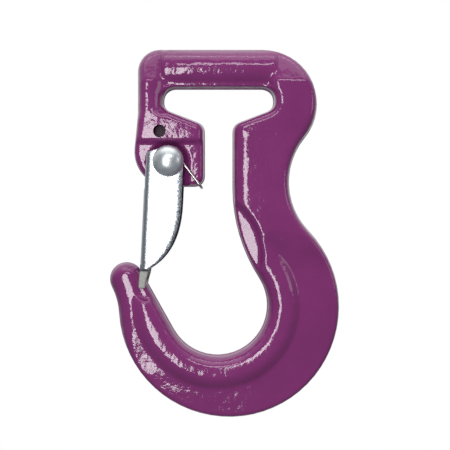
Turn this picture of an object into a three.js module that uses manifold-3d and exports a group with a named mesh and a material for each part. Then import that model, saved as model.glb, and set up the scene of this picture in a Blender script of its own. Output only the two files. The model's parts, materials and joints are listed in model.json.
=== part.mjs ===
// Sling hook with a spring latch: one forging, a pressed latch, its rivet and its double torsion spring.
// Millimetres, +Z up, +X towards the shank. The origin is the middle of the sling bar, above the bowl.
// The parting plane of the forging is Y = 0, and its front face looks along -Y.

import * as THREE from 'three';
import { mergeVertices } from 'three/addons/utils/BufferGeometryUtils.js';
import Module from 'manifold-3d';

const wasm = await Module();
wasm.setup();

// ---- Driving dimensions -------------------------------------------------------------------------

// Sling bar and eye
const BAR_DIAMETER = 15.2;
const EYE_CENTRE_X = 0.5;
const EYE_WIDTH = 41.4;
const EYE_SIDE_DEPTH = 7.5; // straight side of the eye, below the bar
const SHOULDER_SLOPE = THREE.MathUtils.degToRad(21);
const ENTRY_WIDTH = 10.4; // gap between lug and shank that lets a sling in
const BAR_ROOT = 3; // how far the round bar runs into each arm
const EYE_TOP_ROUND = 4.2;
const EYE_FOOT_ROUND = 3;
const ENTRY_ROUND = 4;

// Left arm and latch lug
const ARM_WIDTH = 10.1;
const ARM_CORNER_ROUND = 8.4;
const ARM_STRAIGHT = 16.5; // from the bar's axis down to where the arm flares
const PIVOT_INSET = 13.6; // from the sling entry to the pivot
const PIVOT_Z = -35.4;
const LUG_RADIUS = 13.4;
const LUG_RISE = 4.1; // centre of the lug's round outline above the pivot
const LUG_CORNER_ROUND = 3.8;
const COIL_POCKET_RADIUS = 7;
const MARK_HOLE_DIAMETER = 4.7;
const MARK_HOLE_DEPTH = 4;
const MARK_HOLE_RISE = 4.3; // above the step over the latch ears
const MARK_HOLE_INSET = 8.7; // from the arm's outer side

// Shank, bowl and tip
const BODY_THICKNESS = 15;
const BULGE_RADIUS = 20.6;
const BULGE_OVERHANG = 16.8; // shank side of the eye frame, beyond the eye
const NECK_RADIUS = 26.5;
const SHANK_STRAIGHT_END_Z = -45;
const BOWL_CENTRE_Z = -89.7;
const BOWL_RADIUS = 18.9;
const BACK_RADIUS = 42;
const BACK_OFFSET_X = 4.4;
const BACK_OFFSET_Z = -0.6;
const NOSE_RADIUS = 6.4;
const NOSE_REACH = 34.6; // nose centre, out from the bowl's axis
const NOSE_RISE = 10; // nose centre, above the bowl's axis
const TIP_HOLLOW_RADIUS = 25;
const RIB_WIDTH = 12.1;
const FIN_THICKNESS = 10.8;
const FIN_FADE_SLOPE = THREE.MathUtils.degToRad(4.5);
const FIN_START = THREE.MathUtils.degToRad(43);
const FIN_END = THREE.MathUtils.degToRad(208);
const FORGED_EDGE_ROUND = 2.2;
const TIP_POCKET_ROUND = 2.5;
const SCALLOP_RADIUS = 24.8;
const SCALLOP_MARGIN = 2.8; // past the prongs of the open latch
const SCALLOP_FROM = THREE.MathUtils.degToRad(-32);
const SCALLOP_TO = THREE.MathUtils.degToRad(66);

// Latch, pressed from sheet
const LATCH_SHEET = 1.7;
const LATCH_INNER_WIDTH = 13.4;
const LATCH_BEND_RADIUS = 2.6;
const LATCH_WEB_OFFSET = 8.7; // web's outer face, out from the pivot
const LATCH_EAR_RADIUS = 5.6;
const LATCH_OPENING = THREE.MathUtils.degToRad(53); // from the tip to the shank
const PRONG_LENGTH = 7;
const PRONG_SEAT = 5.3; // prongs' outer side, beyond the nose's centre
const PRONG_DEPTH = 3.1; // prongs' ends, below the nose's centre
const PRONG_WIDTH = 3.2;
const PRONG_THICKNESS = 2;
const NOTCH_DEPTH = 2; // web notch above the prongs

// Rivet
const RIVET_DIAMETER = 6.4;
const RIVET_HEAD_DIAMETER = 11.7;
const RIVET_HEAD_HEIGHT = 4.4;
const RIVET_TAIL_DIAMETER = 9.6;
const RIVET_TAIL_HEIGHT = 2.2;

// Spring wire
const WIRE_DIAMETER = 1;
const COIL_FULL_TURNS = 2;
const BRIDGE_ANGLE = THREE.MathUtils.degToRad(-52.7);
const BRIDGE_BEND_RADIUS = 1.6;
const FREE_LEG_DROP = 14; // pivot to the end of a free leg, down the web

// Clearances
const RUNNING_GAP = 0.15;
const SIDE_GAP = 0.3;
const PRONG_GAP = 0.4;
const PRONG_END_GAP = 3.4;
const LUG_GAP = 1.1;
const COIL_GAP = 0.3; // coil to rivet
const COIL_SIDE_GAP = 0.25; // coil to lug

// Facets
const ARC_TOLERANCE = 0.05;
const BEYOND = 30; // how far a cutter runs past what it cuts

// ---- Places worked out from the dimensions, in the XZ plane -------------------------------------

const point = (x, z) => new THREE.Vector2(x, z);

const barRadius = BAR_DIAMETER / 2;
const halfBody = BODY_THICKNESS / 2;
const eyeLeft = EYE_CENTRE_X - EYE_WIDTH / 2;
const eyeRight = EYE_CENTRE_X + EYE_WIDTH / 2;
const entryLeft = EYE_CENTRE_X - ENTRY_WIDTH / 2;
const entryRight = EYE_CENTRE_X + ENTRY_WIDTH / 2;
const armLeft = eyeLeft - ARM_WIDTH;
const eyeFootZ = -barRadius - EYE_SIDE_DEPTH;
const shoulderDrop = (EYE_WIDTH - ENTRY_WIDTH) / 2 * Math.tan(SHOULDER_SLOPE);
const pivot = point(entryLeft - PIVOT_INSET, PIVOT_Z);
const lugCentre = point(pivot.x, PIVOT_Z + LUG_RISE);
const lugFootZ = lugCentre.y - LUG_RADIUS;
const stepZ = PIVOT_Z + COIL_POCKET_RADIUS;
const bowlCentre = point(0, BOWL_CENTRE_Z);
const backCentre = point(BACK_OFFSET_X, BOWL_CENTRE_Z + BACK_OFFSET_Z);
const noseCentre = point(-NOSE_REACH, BOWL_CENTRE_Z + NOSE_RISE);
const bulgeCentre = point(eyeRight + BULGE_OVERHANG - BULGE_RADIUS, barRadius - BULGE_RADIUS);
const latchInner = LATCH_INNER_WIDTH / 2;
const latchOuter = latchInner + LATCH_SHEET;
const prongInner = latchInner + LATCH_SHEET / 3 - PRONG_THICKNESS;
const tipCore = prongInner - PRONG_GAP;

// The latch runs from the pivot to its seat beside the nose, which sets its length and its tilt.
const prongEnd = point(noseCentre.x + PRONG_SEAT, noseCentre.y - PRONG_DEPTH);
const latchLength = Math.sqrt(pivot.distanceToSquared(prongEnd) - LATCH_WEB_OFFSET ** 2);
const seatLean = Math.atan2(pivot.x - prongEnd.x, pivot.y - prongEnd.y);
const latchTilt = seatLean - Math.atan2(LATCH_WEB_OFFSET, latchLength);
const latchFootZ = -latchLength + PRONG_LENGTH;
const openProngEnd = point(PRONG_WIDTH - LATCH_WEB_OFFSET, -latchLength)
  .rotateAround(point(0, 0), LATCH_OPENING - latchTilt)
  .add(pivot);
const scallopCentre = point(openProngEnd.x + SCALLOP_MARGIN - SCALLOP_RADIUS, openProngEnd.y);

const coilRadius = RIVET_DIAMETER / 2 + COIL_GAP + WIRE_DIAMETER / 2;
const coilPitch = WIRE_DIAMETER * 1.04;
const coilOuterY = latchInner - RUNNING_GAP - WIRE_DIAMETER / 2;

// Each free leg touches the coil and bears on the web; the bridge's legs leave the coil the other way.
const freeLegEnd = point(LATCH_SHEET + RUNNING_GAP + WIRE_DIAMETER / 2 - LATCH_WEB_OFFSET, -FREE_LEG_DROP)
  .rotateAround(point(0, 0), -latchTilt);
const freeLegTouch = touchAngle(point(0, 0), coilRadius, freeLegEnd, -1);
const bridgeLegTouch = BRIDGE_ANGLE + Math.PI / 2;
const coilPart = THREE.MathUtils.euclideanModulo(freeLegTouch - bridgeLegTouch, 2 * Math.PI) / (2 * Math.PI);
const coilTurns = COIL_FULL_TURNS + coilPart;
const coilInnerY = coilOuterY - coilTurns * coilPitch;
const lugPad = coilOuterY - WIRE_DIAMETER / 2 - SIDE_GAP; // half thickness of the lug under the spring legs
const lugCore = coilInnerY - WIRE_DIAMETER / 2 - COIL_SIDE_GAP; // half thickness between the coils

// ---- Plane geometry -----------------------------------------------------------------------------

function polar(centre, radius, angle) {
  return point(centre.x + radius * Math.cos(angle), centre.y + radius * Math.sin(angle));
}

function angleTo(from, to) {
  return Math.atan2(to.y - from.y, to.x - from.x);
}

// Points of an arc, its chords within the tolerance; turn is 1 for anticlockwise and -1 for clockwise.
function arc(centre, radius, from, to, turn = 1) {
  const sweep = THREE.MathUtils.euclideanModulo((to - from) * turn, 2 * Math.PI);
  const step = 2 * Math.acos(1 - ARC_TOLERANCE / radius);
  const count = Math.max(2, Math.ceil(sweep / step));
  const points = [];
  for (let i = 0; i <= count; i += 1) {
    points.push(polar(centre, radius, from + turn * sweep * i / count));
  }
  return points;
}

// A rounded corner at a point between two straight sides.
function corner(before, at, after, radius) {
  const toBefore = before.clone().sub(at).normalize();
  const toAfter = after.clone().sub(at).normalize();
  const half = Math.acos(toBefore.dot(toAfter)) / 2;
  const inward = toBefore.clone().add(toAfter).normalize();
  const centre = at.clone().addScaledVector(inward, radius / Math.sin(half));
  const reach = radius / Math.tan(half);
  const from = angleTo(centre, at.clone().addScaledVector(toBefore, reach));
  const to = angleTo(centre, at.clone().addScaledVector(toAfter, reach));
  const turn = toAfter.cross(toBefore) > 0 ? 1 : -1;
  return arc(centre, radius, from, to, turn);
}

// Centre of a circle that touches two others from outside, on the left of the way from a to b.
function nestledCentre(a, radiusA, b, radiusB, radius) {
  const gap = a.distanceTo(b);
  const reachA = radiusA + radius;
  const along = (gap * gap + reachA * reachA - (radiusB + radius) ** 2) / (2 * gap);
  const aside = Math.sqrt(reachA * reachA - along * along);
  const way = b.clone().sub(a).normalize();
  return a.clone().addScaledVector(way, along).add(point(-way.y, way.x).multiplyScalar(aside));
}

// Angle on a circle where a straight line from an outside point touches it; side is +1 or -1.
function touchAngle(centre, radius, from, side) {
  return angleTo(centre, from) + side * Math.acos(radius / centre.distanceTo(from));
}

// ---- Solids -------------------------------------------------------------------------------------

function solidOf(geometry) {
  const plain = geometry.clone();
  plain.deleteAttribute('normal');
  plain.deleteAttribute('uv');
  const merged = mergeVertices(plain, 1e-4);
  return new wasm.Manifold(new wasm.Mesh({
    numProp: 3,
    vertProperties: new Float32Array(merged.attributes.position.array),
    triVerts: new Uint32Array(merged.index.array),
  }));
}

function geometryOf(solid) {
  const mesh = solid.getMesh();
  const geometry = new THREE.BufferGeometry();
  geometry.setAttribute('position', new THREE.BufferAttribute(mesh.vertProperties, 3));
  geometry.setIndex(new THREE.BufferAttribute(mesh.triVerts, 1));
  geometry.computeVertexNormals();
  return geometry;
}

// A slab of an XZ outline, from one Y to another, with its edges rounded when round is given.
function slab(outline, fromY, toY, round = 0) {
  const geometry = new THREE.ExtrudeGeometry(new THREE.Shape(outline), {
    depth: toY - fromY - 2 * round,
    bevelEnabled: round > 0,
    bevelThickness: round,
    bevelSize: round,
    bevelOffset: -round,
    bevelSegments: 3,
  });
  geometry.rotateX(Math.PI / 2);
  geometry.translate(0, toY - round, 0);
  return geometry;
}

function box(fromX, toX, fromY, toY, fromZ, toZ) {
  const geometry = new THREE.BoxGeometry(toX - fromX, toY - fromY, toZ - fromZ);
  return geometry.translate((fromX + toX) / 2, (fromY + toY) / 2, (fromZ + toZ) / 2);
}

// A cylinder along Y about an XZ centre.
function crossBore(centre, radius, fromY, toY) {
  const sides = Math.ceil(Math.PI / Math.acos(1 - ARC_TOLERANCE / radius));
  const geometry = new THREE.CylinderGeometry(radius, radius, toY - fromY, sides);
  return geometry.translate(centre.x, (fromY + toY) / 2, centre.y);
}

// Cuts the same outline from both faces, down to a core of the given half thickness.
function cutBothFaces(body, outline, halfCore) {
  return body
    .subtract(solidOf(slab(outline, -halfBody - BEYOND, -halfCore)))
    .subtract(solidOf(slab(outline, halfCore, halfBody + BEYOND)));
}

// ---- Forged hook body ---------------------------------------------------------------------------

// The whole outline, anticlockwise from the top of the left arm.
function hookOutline() {
  const armCorner = point(armLeft + ARM_CORNER_ROUND, barRadius - ARM_CORNER_ROUND);
  const armFoot = point(armLeft, -ARM_STRAIGHT);
  const lugTouch = touchAngle(lugCentre, LUG_RADIUS, armFoot, 1);

  const entryCornerLeft = point(entryLeft, eyeFootZ - shoulderDrop);
  const entryCornerRight = point(entryRight, eyeFootZ - shoulderDrop);
  const footLeft = point(eyeLeft, eyeFootZ);
  const footRight = point(eyeRight, eyeFootZ);
  const topLeft = point(eyeLeft, -barRadius);
  const topRight = point(eyeRight, -barRadius);
  const shankEnd = point(entryRight, SHANK_STRAIGHT_END_Z);

  // Inside curve of the shank: it starts upright and runs straight into the bowl's circle.
  const drop = SHANK_STRAIGHT_END_Z - BOWL_CENTRE_Z;
  const shankCurve = (entryRight ** 2 + drop ** 2 - BOWL_RADIUS ** 2) / (2 * (BOWL_RADIUS - entryRight));
  const shankCentre = point(entryRight + shankCurve, SHANK_STRAIGHT_END_Z);
  const bowlEntry = angleTo(bowlCentre, shankCentre);

  // Straight inside of the tip, touching the bowl's circle and the nose.
  const span = bowlCentre.distanceTo(noseCentre);
  const tipTurn = Math.acos((BOWL_RADIUS + NOSE_RADIUS) / span);
  const bowlExit = angleTo(bowlCentre, noseCentre) + tipTurn;

  const tipHollow = nestledCentre(backCentre, BACK_RADIUS, noseCentre, NOSE_RADIUS, TIP_HOLLOW_RADIUS);
  const hollowStart = angleTo(tipHollow, noseCentre);
  const hollowEnd = angleTo(tipHollow, backCentre);
  const neck = nestledCentre(bulgeCentre, BULGE_RADIUS, backCentre, BACK_RADIUS, NECK_RADIUS);

  return [
    ...arc(armCorner, ARM_CORNER_ROUND, Math.PI / 2, Math.PI),
    armFoot,
    ...arc(lugCentre, LUG_RADIUS, lugTouch, 1.5 * Math.PI),
    ...corner(point(pivot.x, lugFootZ), point(entryLeft, lugFootZ), entryCornerLeft, LUG_CORNER_ROUND),
    ...corner(point(entryLeft, lugFootZ), entryCornerLeft, footLeft, ENTRY_ROUND),
    ...corner(entryCornerLeft, footLeft, topLeft, EYE_FOOT_ROUND),
    ...corner(footLeft, topLeft, topRight, EYE_TOP_ROUND),
    ...corner(topLeft, topRight, footRight, EYE_TOP_ROUND),
    ...corner(topRight, footRight, entryCornerRight, EYE_FOOT_ROUND),
    ...corner(footRight, entryCornerRight, shankEnd, ENTRY_ROUND),
    ...arc(shankCentre, shankCurve, Math.PI, angleTo(shankCentre, bowlCentre)),
    ...arc(bowlCentre, BOWL_RADIUS, bowlEntry, bowlExit, -1).slice(1),
    ...arc(noseCentre, NOSE_RADIUS, bowlExit - Math.PI, angleTo(noseCentre, tipHollow)),
    ...arc(tipHollow, TIP_HOLLOW_RADIUS, hollowStart, hollowEnd, -1).slice(1),
    ...arc(backCentre, BACK_RADIUS, angleTo(backCentre, tipHollow), angleTo(backCentre, neck)).slice(1),
    ...arc(neck, NECK_RADIUS, angleTo(neck, backCentre), angleTo(neck, bulgeCentre), -1).slice(1),
    ...arc(bulgeCentre, BULGE_RADIUS, angleTo(bulgeCentre, neck), Math.PI / 2).slice(1),
  ];
}

// The sling bar is round between the arms, and flares into both of them with the eye's corner round.
function roundTheBar(body) {
  const outline = hookOutline();
  const around = box(eyeLeft, eyeRight, -BEYOND, BEYOND, -barRadius - EYE_TOP_ROUND, barRadius + 1);
  const bar = new THREE.CylinderGeometry(barRadius, barRadius, EYE_WIDTH + 2 * BAR_ROOT, 40);
  const flareCentre = point(barRadius + EYE_TOP_ROUND, EYE_WIDTH / 2 - EYE_TOP_ROUND);
  const profile = arc(flareCentre, EYE_TOP_ROUND, Math.PI, Math.PI / 2, -1);
  const root = point(flareCentre.x, EYE_WIDTH / 2 + BAR_ROOT);
  const spindle = [point(0, 0), point(barRadius, 0), ...profile, root, point(0, root.y)];
  const flare = new THREE.LatheGeometry(spindle, 40);
  bar.rotateZ(Math.PI / 2);
  bar.translate(EYE_CENTRE_X, 0, 0);
  const kept = solidOf(slab(outline, -BODY_THICKNESS, BODY_THICKNESS)).intersect(solidOf(bar));
  const blank = solidOf(slab(outline, -halfBody, halfBody, FORGED_EDGE_ROUND));
  let rounded = body.subtract(solidOf(around)).add(kept);
  for (const end of [-1, 1]) {
    const placed = flare.clone();
    placed.rotateZ(-end * Math.PI / 2);
    placed.translate(EYE_CENTRE_X, 0, 0);
    rounded = rounded.add(solidOf(placed).intersect(blank));
  }
  return rounded;
}

// Below the step the lug is set back for the latch ears, and a pocket on each side holds a spring coil.
function cutLug(body) {
  const left = armLeft - BEYOND;
  const right = entryLeft + 1;
  const below = lugFootZ - 1;
  const ears = [point(left, below), point(right, below), point(right, stepZ), point(left, stepZ)];
  const coil = [
    point(pivot.x - COIL_POCKET_RADIUS, below),
    point(pivot.x + COIL_POCKET_RADIUS, below),
    ...arc(pivot, COIL_POCKET_RADIUS, 0, Math.PI),
  ];
  const bore = crossBore(pivot, RIVET_DIAMETER / 2 + RUNNING_GAP, -BEYOND, BEYOND);
  const stepped = cutBothFaces(body, ears, lugPad);
  return cutBothFaces(stepped, coil, lugCore).subtract(solidOf(bore));
}

// A blind mark hole in the front of the block above the latch.
function drillMarkHole(body) {
  const at = point(armLeft + MARK_HOLE_INSET, stepZ + MARK_HOLE_RISE);
  const hole = crossBore(at, MARK_HOLE_DIAMETER / 2, -BEYOND, -halfBody + MARK_HOLE_DEPTH);
  return body.subtract(solidOf(hole));
}

// The tip is set back on both faces of its inner side, so that the prongs can stand astride it.
function cutTipPockets(body) {
  const left = prongEnd.x - 2 * SIDE_GAP;
  const floor = prongEnd.y - PRONG_END_GAP;
  const right = left + 2 * NOSE_RADIUS;
  const top = noseCentre.y + NOSE_RADIUS + 1;
  const outline = [
    point(right, top),
    point(left, top),
    ...corner(point(left, top), point(left, floor), point(right, floor), TIP_POCKET_ROUND),
    point(right, floor),
  ];
  return cutBothFaces(body, outline, tipCore);
}

// The inner edge of the shank is set back on both faces where the open latch stands astride it.
function cutShankScallops(body) {
  const outline = [
    ...arc(scallopCentre, SCALLOP_RADIUS, SCALLOP_FROM, SCALLOP_TO),
    point(entryLeft, scallopCentre.y + SCALLOP_RADIUS),
    point(entryLeft, scallopCentre.y - SCALLOP_RADIUS / 2),
  ];
  return cutBothFaces(body, outline, tipCore);
}

// Outside the rib round the bowl the back of the hook thins to a fin, which fades out at the neck.
function thinTheFin(body) {
  const ribOuter = BOWL_RADIUS + RIB_WIDTH;
  const start = polar(bowlCentre, ribOuter, FIN_START);
  const end = polar(bowlCentre, ribOuter, FIN_END);
  const runOut = end.clone().add(polar(point(0, 0), BEYOND, FIN_END - Math.PI / 2));
  const reach = 2 * BACK_RADIUS;
  const outline = [
    ...arc(bowlCentre, ribOuter, FIN_END, FIN_START),
    point(start.x + reach, start.y),
    point(start.x + reach, BOWL_CENTRE_Z - reach),
    point(-reach, BOWL_CENTRE_Z - reach),
    point(-reach, runOut.y),
    runOut,
  ];
  const halfFin = FIN_THICKNESS / 2;
  let thinned = body;
  for (const face of [-1, 1]) {
    const deep = slab(outline, halfFin, halfFin + BEYOND);
    const sloped = box(-reach, reach, 0, BEYOND, -reach - BEYOND, BEYOND);
    sloped.rotateX(-FIN_FADE_SLOPE);
    sloped.translate(0, halfBody, start.y);
    let cutter = solidOf(deep).intersect(solidOf(sloped));
    if (face < 0) cutter = cutter.mirror([0, 1, 0]);
    thinned = thinned.subtract(cutter);
  }
  return thinned;
}

function hookBodyGeometry() {
  let body = solidOf(slab(hookOutline(), -halfBody, halfBody, FORGED_EDGE_ROUND));
  body = thinTheFin(body);
  body = roundTheBar(body);
  body = cutLug(body);
  body = drillMarkHole(body);
  body = cutTipPockets(body);
  body = cutShankScallops(body);
  return geometryOf(body);
}

// ---- Latch, in its own frame: the pivot is the origin, -Z runs down the web, +X into the channel ----

// Side of the channel: round ears at the pivot, and an edge that sweeps in towards the web's foot.
function latchSideOutline() {
  const shoulder = point(-LATCH_WEB_OFFSET, LATCH_EAR_RADIUS / 2);
  const origin = point(0, 0);
  const earTouch = touchAngle(origin, LATCH_EAR_RADIUS, shoulder, -1);
  const sweep = new THREE.QuadraticBezierCurve(
    point(LATCH_EAR_RADIUS, latchFootZ * 0.38),
    point(LATCH_EAR_RADIUS, latchFootZ * 0.82),
    point(-LATCH_WEB_OFFSET + PRONG_WIDTH, latchFootZ),
  );
  return [
    shoulder,
    point(-LATCH_WEB_OFFSET, latchFootZ),
    ...sweep.getPoints(12).reverse(),
    ...arc(origin, LATCH_EAR_RADIUS, 0, earTouch),
  ];
}

// Section across the channel, in XY: the web with a bend at each side, then the two sides.
function channelSection() {
  const far = LATCH_EAR_RADIUS + 1;
  const webOuter = -LATCH_WEB_OFFSET;
  const webInner = webOuter + LATCH_SHEET;
  const innerBend = LATCH_BEND_RADIUS - LATCH_SHEET;
  const outerCorner = (y) => point(webOuter, y);
  const innerCorner = (y) => point(webInner, y);
  return [
    point(far, latchOuter),
    ...corner(point(far, latchOuter), outerCorner(latchOuter), outerCorner(0), LATCH_BEND_RADIUS),
    ...corner(outerCorner(0), outerCorner(-latchOuter), point(far, -latchOuter), LATCH_BEND_RADIUS),
    point(far, -latchOuter),
    point(far, -latchInner),
    ...corner(point(far, -latchInner), innerCorner(-latchInner), innerCorner(0), innerBend),
    ...corner(innerCorner(0), innerCorner(latchInner), point(far, latchInner), innerBend),
    point(far, latchInner),
  ];
}

function latchGeometry() {
  const channel = new THREE.ExtrudeGeometry(new THREE.Shape(channelSection()), {
    depth: latchLength + BEYOND,
    bevelEnabled: false,
  });
  channel.translate(0, 0, -latchLength - BEYOND / 2);
  const side = slab(latchSideOutline(), -latchOuter - 1, latchOuter + 1);
  const bore = crossBore(point(0, 0), RIVET_DIAMETER / 2 + RUNNING_GAP, -BEYOND, BEYOND);

  // The web starts below the lug, so that it can pass under it as the latch opens.
  const webTop = -(LUG_RADIUS - LUG_RISE) - LUG_GAP;
  const webOuter = -LATCH_WEB_OFFSET;
  const window = box(webOuter - 1, webOuter + LATCH_SHEET + 1, -latchInner, latchInner, webTop, BEYOND);

  // The web's foot is notched over the tip, between the prongs.
  const notchTop = latchFootZ + NOTCH_DEPTH;
  const notch = box(webOuter - 1, BEYOND, -prongInner, prongInner, -latchLength - 1, notchTop);

  let latch = solidOf(channel).intersect(solidOf(side)).subtract(solidOf(window));
  for (const face of [-1, 1]) {
    const inner = face * prongInner;
    const outer = face * (prongInner + PRONG_THICKNESS);
    const prong = box(
      webOuter, webOuter + PRONG_WIDTH,
      Math.min(inner, outer), Math.max(inner, outer),
      -latchLength, notchTop,
    );
    latch = latch.add(solidOf(prong));
  }
  return geometryOf(latch.subtract(solidOf(notch)).subtract(solidOf(bore)));
}

// ---- Rivet, turned about the pivot axis, with its domed head in front ---------------------------

function rivetGeometry() {
  const head = latchOuter + SIDE_GAP;
  const headRadius = RIVET_HEAD_DIAMETER / 2;
  const tailRadius = RIVET_TAIL_DIAMETER / 2;
  const shankRadius = RIVET_DIAMETER / 2;
  const profile = [point(0, -head - RIVET_TAIL_HEIGHT)];
  const steps = 8;
  for (let i = 1; i <= steps; i += 1) {
    const turn = i / steps * Math.PI / 2;
    profile.push(point(tailRadius * Math.sin(turn), -head - RIVET_TAIL_HEIGHT * Math.cos(turn)));
  }
  profile.push(point(shankRadius, -head), point(shankRadius, head));
  for (let i = steps; i >= 1; i -= 1) {
    const turn = i / steps * Math.PI / 2;
    profile.push(point(headRadius * Math.sin(turn), head + RIVET_HEAD_HEIGHT * Math.cos(turn)));
  }
  profile.push(point(0, head + RIVET_HEAD_HEIGHT));
  return new THREE.LatheGeometry(profile, 40).rotateX(Math.PI);
}

// ---- Spring, in the hook's frame with the pivot as the origin -----------------------------------

// One half of the wire, from the end of the free leg through the coil to the middle of the bridge.
function springHalf(face) {
  const start = freeLegTouch;
  const coilStart = polar(point(0, 0), coilRadius, start);
  const points = [];
  for (let i = 0; i < 3; i += 1) {
    const at = freeLegEnd.clone().lerp(coilStart, i / 3);
    points.push(new THREE.Vector3(at.x, face * coilInnerY, at.y));
  }
  const count = Math.round(coilTurns * 16);
  for (let i = 0; i <= count; i += 1) {
    const at = polar(point(0, 0), coilRadius, start - coilTurns * 2 * Math.PI * i / count);
    points.push(new THREE.Vector3(at.x, face * (coilInnerY + coilTurns * coilPitch * i / count), at.y));
  }
  const coilEnd = polar(point(0, 0), coilRadius, bridgeLegTouch);
  const legEnd = bridgeReach();
  for (let i = 1; i <= 3; i += 1) {
    const at = polar(coilEnd, (legEnd - BRIDGE_BEND_RADIUS) * i / 3, BRIDGE_ANGLE);
    points.push(new THREE.Vector3(at.x, face * coilOuterY, at.y));
  }
  for (let i = 1; i <= 4; i += 1) {
    const turn = i / 4 * Math.PI / 2;
    const along = legEnd - BRIDGE_BEND_RADIUS * (1 - Math.sin(turn));
    const at = polar(coilEnd, along, BRIDGE_ANGLE);
    const y = coilOuterY - BRIDGE_BEND_RADIUS * (1 - Math.cos(turn));
    points.push(new THREE.Vector3(at.x, face * y, at.y));
  }
  return points;
}

// Length of the leg from the coil to the bridge, which lies just off the lug's rounded lower corner.
function bridgeReach() {
  const coilEnd = polar(pivot, coilRadius, bridgeLegTouch);
  const round = point(entryLeft - LUG_CORNER_ROUND, lugFootZ + LUG_CORNER_ROUND);
  const toRound = round.clone().sub(coilEnd);
  const way = point(Math.cos(BRIDGE_ANGLE), Math.sin(BRIDGE_ANGLE));
  const along = toRound.dot(way);
  const aside = toRound.cross(way);
  const clear = LUG_CORNER_ROUND + SIDE_GAP + WIRE_DIAMETER / 2;
  return along + Math.sqrt(clear * clear - aside * aside);
}

function springGeometry() {
  const front = springHalf(-1);
  const rear = springHalf(1).reverse();
  const path = new THREE.CatmullRomCurve3([...front, ...rear], false, 'centripetal');
  const section = new THREE.Shape(arc(point(0, 0), WIRE_DIAMETER / 2, 0, -1e-9).slice(1));
  const steps = Math.round(path.getLength() / (WIRE_DIAMETER * 1.6));
  return new THREE.ExtrudeGeometry(section, { steps, bevelEnabled: false, extrudePath: path });
}

// ---- Materials ----------------------------------------------------------------------------------

const paint = () => new THREE.MeshStandardMaterial({ color: 0x83396f, roughness: 0.3, metalness: 0 });
const zinc = () => new THREE.MeshStandardMaterial({ color: 0xc9ced6, roughness: 0.35, metalness: 0.9 });
const rivetPlate = () => new THREE.MeshStandardMaterial({ color: 0xb4b6ba, roughness: 0.28, metalness: 0.9 });
const springWire = () => new THREE.MeshStandardMaterial({ color: 0x9a958c, roughness: 0.3, metalness: 0.9 });

// ---- Assembly -----------------------------------------------------------------------------------

function piece(name, geometry, material) {
  const mesh = new THREE.Mesh(geometry, material);
  mesh.name = name;
  return mesh;
}

const hook = new THREE.Group();
hook.add(piece('hook_body', hookBodyGeometry(), paint()));

const latchKit = new THREE.Group();
latchKit.position.set(pivot.x, 0, PIVOT_Z);
const latch = piece('latch', latchGeometry(), zinc());
latch.rotation.y = latchTilt;
latchKit.add(latch, piece('latch_rivet', rivetGeometry(), rivetPlate()));
latchKit.add(piece('latch_spring', springGeometry(), springWire()));
hook.add(latchKit);

export default hook;
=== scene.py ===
import json
import math

import bpy
import numpy as np
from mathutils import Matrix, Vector


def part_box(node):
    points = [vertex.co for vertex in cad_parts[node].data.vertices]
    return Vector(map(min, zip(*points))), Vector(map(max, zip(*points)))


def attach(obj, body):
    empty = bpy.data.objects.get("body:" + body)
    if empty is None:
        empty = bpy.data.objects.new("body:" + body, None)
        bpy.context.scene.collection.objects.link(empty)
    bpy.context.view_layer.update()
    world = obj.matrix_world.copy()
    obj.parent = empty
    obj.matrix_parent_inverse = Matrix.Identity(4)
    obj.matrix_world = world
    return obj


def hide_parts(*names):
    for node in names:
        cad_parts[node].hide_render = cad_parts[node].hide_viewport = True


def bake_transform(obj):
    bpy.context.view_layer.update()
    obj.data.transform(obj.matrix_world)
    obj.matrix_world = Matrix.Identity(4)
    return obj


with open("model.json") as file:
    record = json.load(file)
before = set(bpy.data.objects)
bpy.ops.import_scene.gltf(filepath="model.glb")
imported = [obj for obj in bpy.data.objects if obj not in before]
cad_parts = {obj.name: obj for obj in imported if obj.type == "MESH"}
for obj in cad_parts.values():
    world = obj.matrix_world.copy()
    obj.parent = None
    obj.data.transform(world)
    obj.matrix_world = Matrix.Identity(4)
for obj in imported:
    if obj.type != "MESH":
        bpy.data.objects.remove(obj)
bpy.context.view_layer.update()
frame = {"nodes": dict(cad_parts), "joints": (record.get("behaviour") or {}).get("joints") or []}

# ---- View -----------------------------------------------------------------------------------------
# The hook hangs by its sling bar and is seen square on from the front, from about a third of a metre,
# with a short telephoto lens. The view is centred a little right of the load line.

view_distance = 0.330
view_width = 0.17176  # how much is seen across, at the parting plane
eye_side, eye_height = 0.0029, -0.0592

bpy.ops.object.select_all(action="DESELECT")
bpy.ops.object.camera_add(location=(eye_side, -view_distance, eye_height), rotation=(math.pi / 2, 0, 0))
camera = bpy.context.object
camera.name = "camera"
camera.data.sensor_width = 36
camera.data.lens = camera.data.sensor_width * view_distance / view_width
camera.data.clip_start = 0.01
bpy.context.scene.camera = camera

# ---- Studio ---------------------------------------------------------------------------------------
# A plain pale floor well below the hanging hook, a white surround, and soft boxes in front, above and
# on the right. The surround is dimmer towards the viewer, so that flat painted faces keep their colour.


def finish(name):
    """A new material, with its node tree and its shader."""
    material = bpy.data.materials.new(name)
    material.use_nodes = True
    tree = material.node_tree
    tree.nodes.new("ShaderNodeTexCoord")
    return material, tree, tree.nodes["Principled BSDF"]


bpy.ops.mesh.primitive_circle_add(vertices=96, radius=0.22, fill_type="NGON", location=(0, 0.34, -0.48))
floor = bpy.context.object
floor.name = "floor"
floor_paper, _, paper = finish("floor_paper")
paper.inputs["Base Color"].default_value = (0.9, 0.9, 0.9, 1)
paper.inputs["Roughness"].default_value = 0.9
floor.data.materials.append(floor_paper)

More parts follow.
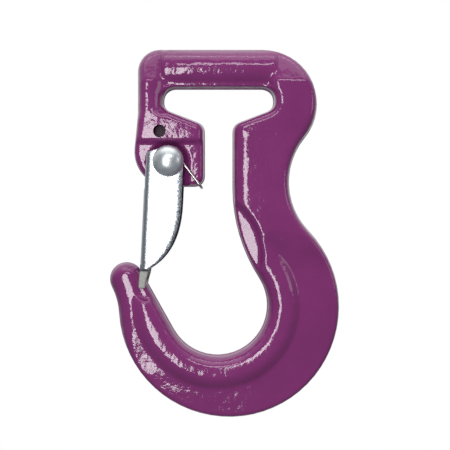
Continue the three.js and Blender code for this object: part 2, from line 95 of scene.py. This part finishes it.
studio = bpy.data.worlds.new("studio")
bpy.context.scene.world = studio
studio.use_nodes = True
sky = studio.node_tree
direction = sky.nodes.new("ShaderNodeTexCoord")
lit_way = sky.nodes.new("ShaderNodeVectorMath")
lit_way.operation = "DOT_PRODUCT"
lit_way.inputs[1].default_value = (0, 0.55, 0.83)  # the surround is brightest behind and above
sky.links.new(direction.outputs["Generated"], lit_way.inputs[0])
share_lit = sky.nodes.new("ShaderNodeMapRange")
share_lit.inputs["From Min"].default_value = -1
sky.links.new(lit_way.outputs["Value"], share_lit.inputs["Value"])
fade_up = sky.nodes.new("ShaderNodeValToRGB")
dim, bright = fade_up.color_ramp.elements
dim.position, dim.color = 0.52, (0.14, 0.15, 0.17, 1)
bright.position, bright.color = 0.92, (0.95, 0.95, 0.96, 1)
sky.links.new(share_lit.outputs[0], fade_up.inputs[0])
ray = sky.nodes.new("ShaderNodeLightPath")
backdrop = sky.nodes.new("ShaderNodeMix")
backdrop.data_type = "RGBA"
backdrop.inputs["B"].default_value = (1, 1, 1, 1)
sky.links.new(ray.outputs["Is Camera Ray"], backdrop.inputs["Factor"])
sky.links.new(fade_up.outputs[0], backdrop.inputs["A"])
sky.links.new(backdrop.outputs["Result"], sky.nodes["Background"].inputs["Color"])
bpy.context.scene.view_settings.view_transform = "Standard"


def soft_box(name, place, target, width, height, watts):
    bpy.ops.object.light_add(type="AREA", location=place)
    lamp = bpy.context.object
    lamp.name = name
    lamp.data.shape = "RECTANGLE"
    lamp.data.size = width
    lamp.data.size_y = height
    lamp.data.energy = watts
    aim = Vector(target) - Vector(place)
    lamp.rotation_euler = aim.to_track_quat("-Z", "Y").to_euler()


soft_box("box_front", (-0.112, -0.500, -0.081), (-0.112, 0, -0.081), 0.14, 0.305, 1.2)
soft_box("box_right", (0.53, -0.28, 0.05), (0, 0, -0.03), 0.20, 0.20, 0.18)
soft_box("box_high", (0.03, -0.54, 0.245), (0, 0, -0.04), 0.40, 0.09, 0.62)
soft_box("box_top", (-0.02, -0.22, 0.55), (0, 0, -0.02), 0.8, 0.45, 0.9)
soft_box("strip_top", (0, -0.10, 0.46), (0, 0, 0), 0.5, 0.012, 0.12)

# ---- Hook body ------------------------------------------------------------------------------------
# One drop forging of alloy steel, powder coated violet. It is made from the outline of its parting
# plane: a blank of that outline is forged thinner or rounder from both sides, dies leaving rib, fin,
# lug pockets, tip pockets and scallop, and then the pivot bore and a blind mark hole are drilled.

mm = 0.001
low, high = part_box("hook_body")
pivot = Vector(frame["joints"][0]["pos_m"])
pivot_x, pivot_z = pivot.x / mm, pivot.z / mm
half_blank = 7.6 * mm


def only(piece):
    bpy.ops.object.select_all(action="DESELECT")
    piece.select_set(True)
    bpy.context.view_layer.objects.active = piece


def edit_all(piece):
    only(piece)
    bpy.ops.object.mode_set(mode="EDIT")
    bpy.ops.mesh.select_all(action="SELECT")


def apply_modifier(piece, kind, **settings):
    only(piece)
    modifier = piece.modifiers.new(kind.lower(), kind)
    for setting, value in settings.items():
        setattr(modifier, setting, value)
    bpy.ops.object.modifier_apply(modifier=modifier.name)


def merged_copy(node, name):
    """A copy of a CAD solid, its loose triangles merged into one closed mesh."""
    piece = frame["nodes"][node].copy()
    piece.data = piece.data.copy()
    piece.parent = None
    piece.name = name
    bpy.context.collection.objects.link(piece)
    edit_all(piece)
    bpy.ops.mesh.remove_doubles(threshold=1e-6)
    bpy.ops.object.mode_set(mode="OBJECT")
    return piece


def smooth(piece, repeat):
    edit_all(piece)
    bpy.ops.mesh.vertices_smooth(factor=0.5, repeat=repeat)
    bpy.ops.object.mode_set(mode="OBJECT")


def read_vertices(piece, what="co"):
    values = np.empty(len(piece.data.vertices) * 3)
    piece.data.vertices.foreach_get(what, values)
    return values.reshape(-1, 3)


def move_vertices(piece, places):
    piece.data.vertices.foreach_set("co", places.ravel())
    piece.data.update()


hook = merged_copy("hook_body", "forged_hook")
edit_all(hook)
bpy.ops.mesh.bisect(
    plane_co=(0, 0, 0), plane_no=(0, 1, 0), use_fill=True, clear_inner=True, clear_outer=True
)
bpy.ops.object.mode_set(mode="OBJECT")
hook.data.update()


# The parting line, as straight steps, without the pivot bore.
def faces_at(rim_edge):
    return sum(rim_edge.key in face.edge_keys for face in hook.data.polygons)


corners = read_vertices(hook)[:, [0, 2]]
steps = np.array([tuple(edge.vertices) for edge in hook.data.edges if faces_at(edge) == 1])
from_pivot = np.hypot(corners[:, 0] - pivot.x, corners[:, 1] - pivot.z)
steps = steps[from_pivot[steps[:, 0]] > 4 * mm]
line_start, line_end = corners[steps[:, 0]], corners[steps[:, 1]]

edit_all(hook)
bpy.ops.transform.translate(value=(0, -half_blank, 0))
bpy.ops.mesh.extrude_region_move(TRANSFORM_OT_translate={"value": (0, 2 * half_blank, 0)})
bpy.ops.mesh.select_all(action="SELECT")
bpy.ops.mesh.normals_make_consistent(inside=False)
bpy.ops.object.mode_set(mode="OBJECT")
apply_modifier(hook, "REMESH", mode="VOXEL", voxel_size=0.51 * mm)

# The dies give the half thickness everywhere on the parting plane. Their sizes are in millimetres.
cheek_level, crown_level, groove_level = 7.45, 7.6, 4.8
pad_level, core_level, pocket_level = 5.2, 2.75, 4.75
bar_radius = high.z / mm
bowl_x, bowl_z = 0.0, low.z / mm + 42.6
rib_reach, rib_slope = 31.0, 4.7
eye_left, eye_right = -20.2, 21.2
arm_left, arm_slope_start = -30.3, -4.9
step_z = pivot_z + 7.0
coil_pocket_radius = 7.0
tip_pocket_left, tip_pocket_foot, tip_pocket_corner = -29.7, -86.4, 2.5
scallop_x, scallop_z, scallop_radius = -7.1, -70.3, 24.8


def ramp(value, start, end):
    share = np.clip((value - start) / (end - start), 0, 1)
    return share * share * (3 - 2 * share)


def blend_to(level, target, weight):
    return level + (target - level) * weight


def rolled_edge(inset, width):
    """A quarter round: 1 at the edge, and 0 from that width on."""
    share = np.clip(inset / width, 0, 1)
    return 1 - np.sqrt(1 - (1 - share) ** 2)


def distance_in(x, z):
    """Distance in from the parting line, and the way in, for every point."""
    spot = np.stack([x, z], 1) * mm
    nearest = np.full(len(x), 1e9)
    way = np.zeros((len(x), 2))
    for start, end in zip(line_start, line_end):
        step = end - start
        share = np.clip(((spot - start) @ step) / (step @ step), 0, 1)
        gap = spot - (start + share[:, None] * step)
        size = np.hypot(gap[:, 0], gap[:, 1])
        closer = size < nearest
        nearest = np.where(closer, size, nearest)
        way[closer] = gap[closer]
    return nearest / mm, way


def cheek_and_rib(z, inset, around, turn):
    """The very slightly crowned cheeks, then the rib round the bowl, the groove at its foot, the fin."""
    cheek = cheek_level - 0.20 * np.exp(-inset / 5)
    rib_edge = rib_reach + 0.6 * ramp(-turn, 142, 184)
    groove = groove_level + 0.6 * ramp(-turn, 140, 165) + 1.0 * ramp(-turn, 180, 222)
    crown = crown_level - 0.9 * ramp(-turn, 150, 205)
    crest = np.clip((rib_edge - around) / rib_slope, 0, 1)
    bead = groove + (crown - groove) * np.sin(crest * math.pi / 2) ** 0.92
    keel = ramp(-turn, 70, 95) * (1 - ramp(-turn, 125, 140))
    fin = groove - 0.055 * (around - rib_edge) * keel
    fade = np.where(turn < -90, 1, 1 - ramp(z, -77, -60))
    below_scallop = 1 - ramp(z, -64, -56)
    level = blend_to(cheek, np.where(around < rib_edge, bead, fin), fade * below_scallop)
    on_fin = ramp(around - rib_edge, -1, 1) * fade
    return level, on_fin


def edge_rounding(x, z, around, on_fin):
    """How far in and how far down the edges are rounded, and where the left arm is."""
    saddle = (1 - ramp(around, rib_reach - 4, rib_reach + 2)) * (1 - ramp(z, -76, -66))
    tip = (1 - ramp(x, -28, -20)) * (1 - ramp(z, -70, -66)) * (1 - ramp(-z, 96, 112))
    soft = np.maximum(saddle, tip)
    shank = (1 - ramp(x, 12, 18)) * ramp(x, 0, 3) * (1 - ramp(z, -24, -20)) * ramp(z, -84, -78)
    arm = (1 - ramp(x, eye_left - 1, eye_left + 2)) * ramp(z, -19.5, -15.5)
    arm_off = 4.2 + 2.2 * ramp(x, -27, -24)
    roundings = ((on_fin, 1.7, 1.5), (soft, 5.6, 4.8), (shank * (1 - soft), 6.2, 3.0), (arm, 5.0, arm_off))
    round_in, round_off = np.full(len(x), 3.2), np.full(len(x), 2.6)
    for weight, width, depth in roundings:
        round_in = blend_to(round_in, width, weight)
        round_off = blend_to(round_off, depth, weight)
    return round_in, round_off, arm


def inset_at_eye(x, z, inset, arm):
    """Beside the bar the arms' edges run on up, and the left arm's crest lies near its outer side."""
    beside = np.where(x < 0, eye_left + 1.2 - x, x - eye_right + 1.2)
    held = np.where(z > -9.5, np.clip(beside, 0, None), 99)
    inset = np.minimum(inset, blend_to(inset, held, ramp(z, -9.5, -7.0)))
    inner_side = np.where(x < eye_left, eye_left + 1.2 - x, inset)
    skewed = np.clip(np.minimum(1.4 * (x - arm_left), 0.66 * inner_side), 0, None)
    return blend_to(inset, np.minimum(skewed, 1.4 * inset), arm * (z < 6) * (x < eye_left + 1.2))


def with_bar(x, z, height):
    """Above the middle of the bar the arms slope back to the top. The bar between them is round."""
    climb = np.clip(z - arm_slope_start, 0, None)
    height = height * (1 - (0.33 * climb + 0.002 * climb ** 2) / cheek_level)
    span = ramp(x, eye_left - 2.4, eye_left - 0.2) * (1 - ramp(x, eye_right + 0.5, eye_right + 3.5))
    depth = 7.2 - 0.9 * (1 - ramp(x, eye_left - 1, eye_left + 8)) - 0.7 * ramp(x, eye_right - 7, eye_right)
    bar = depth * np.sqrt(np.clip(1 - (z / bar_radius) ** 2, 0, None)) * span
    joined = 0.5 * (height + bar + np.hypot(height - bar, 0.45))
    return np.where((z > -bar_radius - 1) & (span > 0), joined, height)


def with_lug(x, z, inset, height):
    """Below its step the lug is set back, with a pocket for a spring coil."""
    lug = ramp(-z, -step_z - 1.5, -step_z + 0.6) * (x < 0) * (1 - ramp(-z, 50, 52))
    pad = pad_level - 1.5 * rolled_edge(inset, 2.0)
    height = np.where(x < 0, blend_to(height, np.minimum(height, pad), lug), height)
    from_rivet = np.hypot(x - pivot_x, z - pivot_z)
    slot = np.where(z > pivot_z, from_rivet, np.abs(x - pivot_x))
    coil = (1 - ramp(slot, coil_pocket_radius - 0.5, coil_pocket_radius + 0.9)) * lug
    pocket_floor = core_level - 0.9 * (1 - np.clip(inset / 1.2, 0, 1)) ** 2
    return blend_to(height, np.minimum(height, pocket_floor), coil)


def with_tip_pockets(x, z, height):
    """A pocket in each side of the tip takes a prong of the latch."""
    out_x = np.minimum(x - tip_pocket_left - tip_pocket_corner, 0)
    out_z = np.minimum(z - tip_pocket_foot - tip_pocket_corner, 0)
    past = np.hypot(out_x, out_z) - tip_pocket_corner
    pocket = pocket_level + (height - pocket_level) * ramp(past, 0.0, 1.9)
    near_tip = (x < -12) & (x > -40) & (z < -66) & (z > -96)
    return np.where(near_tip, np.minimum(height, np.maximum(pocket, pocket_level)), height)


def with_scallop(x, z, height):
    """The scallop in the shank, where the open latch stands astride it."""
    bite = scallop_radius - np.hypot(x - scallop_x, z - scallop_z)
    scallop_floor = pocket_level - 0.75 + 0.11 * (x - 6)
    dish = crown_level - (crown_level - scallop_floor) * np.clip(bite / 1.9, 0, 1) ** 0.8
    return np.where((x > 2) & (bite > 0), np.minimum(height, dish), height)


def half_thickness(x, z, inset):
    around = np.hypot(x - bowl_x, z - bowl_z)
    turn = np.degrees(np.arctan2(z - bowl_z, x - bowl_x))
    turn = np.where(turn > 120, turn - 360, turn)  # about -200 at the tip, -90 below, 80 on the shank
    level, on_fin = cheek_and_rib(z, inset, around, turn)
    round_in, round_off, arm = edge_rounding(x, z, around, on_fin)
    inset = inset_at_eye(x, z, inset, arm)
    height = level - round_off * rolled_edge(inset, round_in)
    height = with_bar(x, z, height)
    height = with_lug(x, z, inset, height)
    height = with_tip_pockets(x, z, height)
    return with_scallop(x, z, height)


blank = read_vertices(hook) / mm
outward = read_vertices(hook, "normal")[:, [0, 2]]
inset, way_in = distance_in(blank[:, 0], blank[:, 2])
inward = np.where(inset[:, None] < 0.4, -outward, way_in)
inward /= np.maximum(np.hypot(inward[:, 0], inward[:, 1]), 1e-9)[:, None]
blank[:, 1] *= half_thickness(blank[:, 0], blank[:, 2], inset) / (half_blank / mm)

# The walls have draft, and the trimmed flash is left proud along the parting line.
from_line = np.abs(blank[:, 1])
draft = (0.22 * ramp(from_line, 0.5, 1.1) + 0.085 * from_line) * np.clip(1 - inset / 4, 0, 1)
blank[:, 0] += inward[:, 0] * draft
blank[:, 2] += inward[:, 1] * draft
move_vertices(hook, blank * mm)
smooth(hook, 2)

# The pivot bore goes through the lug, and the mark hole is blind, from the front.
bore_radius = 3.4
mark_x, mark_z, mark_radius, mark_depth = -21.6, -24.1, 2.35, 4.1


def drill(piece, place, radius, length):
    bpy.ops.mesh.primitive_cylinder_add(
        vertices=64, radius=radius, depth=length, location=place, rotation=(math.pi / 2, 0, 0)
    )
    cutter = bpy.context.object
    apply_modifier(piece, "BOOLEAN", operation="DIFFERENCE", object=cutter, solver="EXACT")
    bpy.data.objects.remove(cutter)


drill(hook, pivot, bore_radius * mm, 40 * mm)
drill(hook, (mark_x * mm, -half_blank, mark_z * mm), mark_radius * mm, 2 * mark_depth * mm)
only(hook)
bpy.ops.object.shade_smooth_by_angle(angle=math.radians(50))


def noise(tree, scale, detail, roughness=0.5):
    texture = tree.nodes.new("ShaderNodeTexNoise")
    texture.inputs["Scale"].default_value = scale
    texture.inputs["Detail"].default_value = detail
    texture.inputs["Roughness"].default_value = roughness
    tree.links.new(tree.nodes["Texture Coordinate"].outputs["Object"], texture.inputs["Vector"])
    return texture.outputs["Fac"]


def bumped(tree, heights, distance, normal=None):
    bump = tree.nodes.new("ShaderNodeBump")
    bump.inputs["Distance"].default_value = distance
    tree.links.new(heights, bump.inputs["Height"])
    if normal:
        tree.links.new(normal, bump.inputs["Normal"])
    return bump.outputs["Normal"]


def tinted(tree, share, darker, lighter):
    shades = tree.nodes.new("ShaderNodeValToRGB")
    first, last = shades.color_ramp.elements
    first.position, first.color = 0.3, (*darker, 1)
    last.position, last.color = 0.7, (*lighter, 1)
    tree.links.new(share, shades.inputs["Fac"])
    return shades.outputs["Color"]


# Powder coat: glossy, with long waves over the forged skin and a finer orange peel.
violet, coat, paint = finish("violet_powder_coat")
paint.inputs["Roughness"].default_value = 0.10
paint.inputs["Coat Weight"].default_value = 0.35
paint.inputs["Coat Roughness"].default_value = 0.05
pigment = tinted(coat, noise(coat, 60, 4), (0.225, 0.030, 0.160), (0.260, 0.036, 0.185))
waves = bumped(coat, noise(coat, 240, 2), 0.00023)
skin = bumped(coat, noise(coat, 950, 3, 0.6), 0.000034, waves)
coat.links.new(pigment, paint.inputs["Base Color"])
coat.links.new(skin, paint.inputs["Normal"])
coat.links.new(skin, paint.inputs["Coat Normal"])

# Inside the holes the paint is thin over drilled steel, and the colour is painted near black as shade deep in
# the holes.
hole_shade_material, hole_shade_tree, hole_shade_shader = finish("drilled_steel_painted_shade")
hole_shade_shader.inputs["Metallic"].default_value = 0.3
hole_shade_shader.inputs["Roughness"].default_value = 0.6
# Painted shade: near-black tones for the shade deep inside the bore and the mark hole.
hole_shade_colour = tinted(hole_shade_tree, noise(hole_shade_tree, 900, 4), (0.030, 0.014, 0.026), (0.065, 0.032, 0.055))
hole_shade_tree.links.new(hole_shade_colour, hole_shade_shader.inputs["Base Color"])

hook.data.materials.clear()
hook.data.materials.append(violet)
hook.data.materials.append(hole_shade_material)
# The faces inside the mark hole and the pivot bore take this steel with its painted shade.
for face in hook.data.polygons:
    off_mark = math.hypot(face.center.x / mm - mark_x, face.center.z / mm - mark_z)
    off_pivot = math.hypot(face.center.x / mm - pivot_x, face.center.z / mm - pivot_z)
    in_mark = off_mark < mark_radius + 0.01 and face.center.y < 0
    face.material_index = int(in_mark or off_pivot < bore_radius + 0.02)
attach(hook, "root")
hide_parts("hook_body")

# ---- Latch ----------------------------------------------------------------------------------------
# A channel bent from sheet steel, bright zinc plated. Its ears hang on the rivet either side of the
# lug, its sides sweep in towards the foot, and two sheared prongs stand astride the hook's tip.

latch = merged_copy("latch", "zinc_latch")
edit_all(latch)
bpy.ops.mesh.normals_make_consistent(inside=False)
bpy.ops.object.mode_set(mode="OBJECT")
apply_modifier(latch, "REMESH", mode="VOXEL", voxel_size=0.24 * mm)
smooth(latch, 5)
bpy.ops.object.shade_smooth()

# Places on the latch in its own frame, in millimetres: out from the rivet, and down the web.
lean = math.radians(2.77)
sheet = read_vertices(latch) / mm
off = sheet - np.array(pivot) / mm
out = off[:, 0] * math.cos(lean) - off[:, 2] * math.sin(lean)
down = -off[:, 0] * math.sin(lean) - off[:, 2] * math.cos(lean)
side = np.abs(sheet[:, 1])

# How far each place is from the swept edge, row by row down the latch.
row_height, rows_above, last_row = 0.25, 40, 400
rows = np.clip(np.round(down / row_height).astype(int) + rows_above, 0, last_row)
swept_edge = np.full(last_row + 1, -99.0)
np.maximum.at(swept_edge, rows[side > 7.2], out[side > 7.2])
to_edge = swept_edge[rows] - out

# The stamped sides roll over towards that edge, and the prongs taper to their ends.
roll_over = np.clip(1 - to_edge / 1.5, 0, 1) ** 1.5 * (side > 8.0) * (down > -2) * (down < 41)
taper = ramp(down, 41.2, 46.5) * np.clip((out + 9.5) / 4, 0, 1)
sheet[:, 1] -= np.sign(sheet[:, 1]) * 0.24 * roll_over
sheet[:, 0] -= 0.9 * taper
move_vertices(latch, sheet * mm)

# What the plating looks like where: sheared prongs, painted shade inside the channel and along the rear
# flange's swept edge, a painted shadow line at the top of the prongs, and speckles along the swept edge.
# The channel's inner faces and the rear flange's swept edge, where shade falls, make the zone whose colour is
# painted darker.
in_channel = (side < 7.3) & (out > -7.9) & (down < 40.5)
rear_edge = (sheet[:, 1] > 0) & (to_edge < 0.8) & (down > 4)
inside = (in_channel | rear_edge).astype(float)
prong = ramp(down, 40.7, 41.2)
zones = {
    "inside": inside,
    "prong": prong,
    "sheared": np.maximum(prong, inside),
    # Painted shadow: a thin dark line across the top of the prongs, where the flange's edge shades them.
    "painted_step_shadow": np.exp(-((down - 41.2) / 0.28) ** 2) * (side < 7.6),
    "rolled": np.clip(1.4 - np.abs(to_edge - 1.5) / 0.6, 0, 1) * (side > 7.4) * (down > 4),
    "band": np.clip(1.2 - to_edge / 7.5, 0, 1) ** 0.5 * (side > 8) * (down > 4),
}
for name, shares in zones.items():
    layer = latch.data.attributes.new(name, "FLOAT", "POINT")
    layer.data.foreach_set("value", shares.astype(np.float32))


def between(tree, share, least, most, start=0, end=1):
    """A share that runs from start to end, spread out to run from least to most."""
    spread = tree.nodes.new("ShaderNodeMapRange")
    for limit, value in (("From Min", start), ("From Max", end), ("To Min", least), ("To Max", most)):
        spread.inputs[limit].default_value = value
    tree.links.new(share, spread.inputs["Value"])
    return spread.outputs[0]


def zone_share(tree, name):
    zone = tree.nodes.new("ShaderNodeAttribute")
    zone.attribute_name = name
    return zone.outputs["Fac"]


def tone_and_shade_over(tree, under, name, colour, amount=1.0, spots=None):
    """The colour laid over a zone, all over it or only in the spots of a noise: plating tones, and painted
    shade.
    """
    strength = tree.nodes.new("ShaderNodeMath")
    strength.operation = "MULTIPLY"
    strength.inputs[1].default_value = amount
    if spots:
        tree.links.new(between(tree, spots, 0, amount, 0.48, 0.66), strength.inputs[1])
    tree.links.new(zone_share(tree, name), strength.inputs[0])
    laid = tree.nodes.new("ShaderNodeMix")
    laid.data_type = "RGBA"
    laid.inputs["B"].default_value = (*colour, 1)
    tree.links.new(strength.outputs[0], laid.inputs["Factor"])
    tree.links.new(under, laid.inputs["A"])
    return laid.outputs["Result"]


zinc, plate, plated = finish("bright_zinc_plate")
plated.inputs["Metallic"].default_value = 1.0
grains = noise(plate, 1700, 3, 0.65)
colour = tinted(plate, noise(plate, 260, 5, 0.65), (0.62, 0.67, 0.72), (0.80, 0.83, 0.85))
colour = tone_and_shade_over(plate, colour, "band", (0.03, 0.035, 0.05), 0.9, noise(plate, 1300, 3, 0.7))
colour = tone_and_shade_over(plate, colour, "rolled", (0.02, 0.03, 0.12), 0.95, noise(plate, 1200, 3))
# Painted shade: the channel's inner faces and the rear flange's edge are made dark grey for the shade inside
# the channel.
colour = tone_and_shade_over(plate, colour, "inside", (0.12, 0.145, 0.175))
colour = tone_and_shade_over(plate, colour, "prong", (0.52, 0.53, 0.49))
# Painted shadow: the dark line at the top of the prongs, under the flange's edge.
colour = tone_and_shade_over(plate, colour, "painted_step_shadow", (0.05, 0.07, 0.10))
duller = plate.nodes.new("ShaderNodeMath")
duller.operation = "MULTIPLY_ADD"
duller.inputs[1].default_value = 0.45
plate.links.new(zone_share(plate, "sheared"), duller.inputs[0])
plate.links.new(between(plate, grains, 0.16, 0.46), duller.inputs[2])
plate.links.new(colour, plated.inputs["Base Color"])
plate.links.new(duller.outputs[0], plated.inputs["Roughness"])
plate.links.new(bumped(plate, grains, 0.000045), plated.inputs["Normal"])
latch.data.materials.clear()
latch.data.materials.append(zinc)
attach(latch, "latch")
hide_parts("latch")

# ---- Latch rivet ----------------------------------------------------------------------------------
# A plated steel rivet with a full domed head in front and a low closed head behind, turned as one
# piece and set through both ears of the latch and the lug of the hook.

head_radius, head_height, head_seat = 5.85 * mm, 4.4 * mm, 8.7 * mm
tail_radius, tail_height = 4.8 * mm, 2.2 * mm
shank_radius = 3.2 * mm
rings = 64


def dome(share, fullness):
    """How high a head stands at that share of its radius, from 1 in the middle to 0 at the rim."""
    return np.clip(1 - share ** fullness, 0, None) ** (1 / fullness)


bpy.ops.object.select_all(action="DESELECT")
bpy.ops.mesh.primitive_uv_sphere_add(
    segments=96, ring_count=rings, radius=head_radius, location=pivot, rotation=(math.pi / 2, 0, 0)
)
rivet = bpy.context.object
rivet.name = "domed_rivet"
bpy.ops.object.transform_apply(location=True, rotation=True, scale=True)

# The three rings in the middle of the ball make the shank, and the others the two heads.
ball = read_vertices(rivet) - np.array(pivot)
ring = np.round(np.arcsin(np.clip(ball[:, 1] / head_radius, -1, 1)) * rings / math.pi)
radial = np.clip(np.cos(ring * math.pi / rings) / math.cos(2 * math.pi / rings), 0, 1)
front = -head_seat - head_height * dome(radial, 2.08)
back = head_seat + tail_height * dome(radial, 2.6)
on_shank = np.abs(ring) <= 1
turned_radius = np.where(on_shank, shank_radius, radial * np.where(ring < 0, head_radius, tail_radius))
ball[:, [0, 2]] *= (turned_radius / np.maximum(np.hypot(ball[:, 0], ball[:, 2]), 1e-9))[:, None]
ball[:, 1] = np.where(on_shank, ring * head_seat, np.where(ring < 0, front, back))
move_vertices(rivet, ball + np.array(pivot))
apply_modifier(
    rivet, "BEVEL", width=0.25 * mm, segments=3, limit_method="ANGLE", angle_limit=math.radians(40)
)
bpy.ops.object.shade_smooth_by_angle(angle=math.radians(60))

plating, dull, steel = finish("plated_rivet_steel")
steel.inputs["Metallic"].default_value = 0.75
smears = noise(dull, 420, 6, 0.7)
dull.links.new(tinted(dull, smears, (0.56, 0.61, 0.64), (0.86, 0.89, 0.90)), steel.inputs["Base Color"])
dull.links.new(between(dull, smears, 0.22, 0.42), steel.inputs["Roughness"])
dull.links.new(bumped(dull, noise(dull, 500, 3), 0.000025), steel.inputs["Normal"])
rivet.data.materials.append(plating)
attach(rivet, "root")
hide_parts("latch_rivet")

# ---- Latch spring ---------------------------------------------------------------------------------
# A double torsion spring of bright wire: a coil on the rivet in each pocket of the lug, joined by a
# bridge round the lug's edge, with free legs that lie on the inside of the latch's web.

wire_radius, wire_pitch = 0.5 * mm, 1.04 * mm
coil_radius = 4.0 * mm
bridge_bend = 1.6 * mm
high_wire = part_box("latch_spring")[1]

# Angles and places round the rivet. A leg leaves its coil where it touches it.
bridge_way = math.radians(-52.7)
bridge_touch = bridge_way + math.pi / 2
bridge_corner = high_wire.x - wire_radius - pivot.x
bridge_leg = (bridge_corner - coil_radius * math.cos(bridge_touch)) / math.cos(bridge_way)
leg_end = (-6.99 * mm, -14.0 * mm)
leg_touch = math.radians(168.2)
turned = 4 * math.pi + leg_touch - bridge_touch
outer_side = high_wire.y - wire_radius
inner_side = outer_side - turned / (2 * math.pi) * wire_pitch


def on_coil(angle):
    return coil_radius * math.cos(angle), coil_radius * math.sin(angle)


def along_bridge(way, side):
    start_x, start_z = on_coil(bridge_touch)
    return start_x + way * math.cos(bridge_way), side, start_z + way * math.sin(bridge_way)


def spring_side(face):
    """One half of the wire, from the end of its free leg to the middle of the bridge."""
    start_x, start_z = on_coil(leg_touch)
    end_x, end_z = leg_end
    line = []
    for share in np.linspace(0, 0.95, 8):
        leg_x, leg_z = blend_to(end_x, start_x, share), blend_to(end_z, start_z, share)
        line.append((leg_x, face * inner_side, leg_z))
    for share in np.linspace(0, 1, 96):
        coil_x, coil_z = on_coil(leg_touch - turned * share)
        line.append((coil_x, face * blend_to(inner_side, outer_side, share), coil_z))
    for share in np.linspace(0.1, 1, 8):
        line.append(along_bridge((bridge_leg - bridge_bend) * share, face * outer_side))
    for turn in np.linspace(0.15, 1, 8) * math.pi / 2:
        way = bridge_leg - bridge_bend * (1 - math.sin(turn))
        line.append(along_bridge(way, face * (outer_side - bridge_bend * (1 - math.cos(turn)))))
    return line


path = spring_side(-1) + spring_side(1)[::-1]
run = bpy.data.curves.new("spring_wire", "CURVE")
run.dimensions = "3D"
strand = run.splines.new("POLY")
strand.points.add(len(path) - 1)
for spot, place in zip(strand.points, path):
    spot.co = (*(Vector(place) + pivot), 1)
run.bevel_depth = wire_radius
run.bevel_resolution = 5
run.use_fill_caps = True
spring = bpy.data.objects.new("torsion_spring", run)
bpy.context.collection.objects.link(spring)
only(spring)
bpy.ops.object.convert(target="MESH")
spring = bpy.context.object
apply_modifier(spring, "WELD", merge_threshold=1e-6)
bpy.ops.object.shade_smooth_by_angle(angle=math.radians(50))

drawn, wiry, bright_wire = finish("drawn_spring_wire")
bright_wire.inputs["Metallic"].default_value = 1.0
bright_wire.inputs["Roughness"].default_value = 0.24
specks = noise(wiry, 1500, 4, 0.6)
wiry.links.new(tinted(wiry, specks, (0.42, 0.41, 0.38), (0.66, 0.64, 0.60)), bright_wire.inputs["Base Color"])
wiry.links.new(bumped(wiry, specks, 0.00002), bright_wire.inputs["Normal"])
spring.data.materials.append(drawn)
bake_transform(spring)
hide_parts("latch_spring")
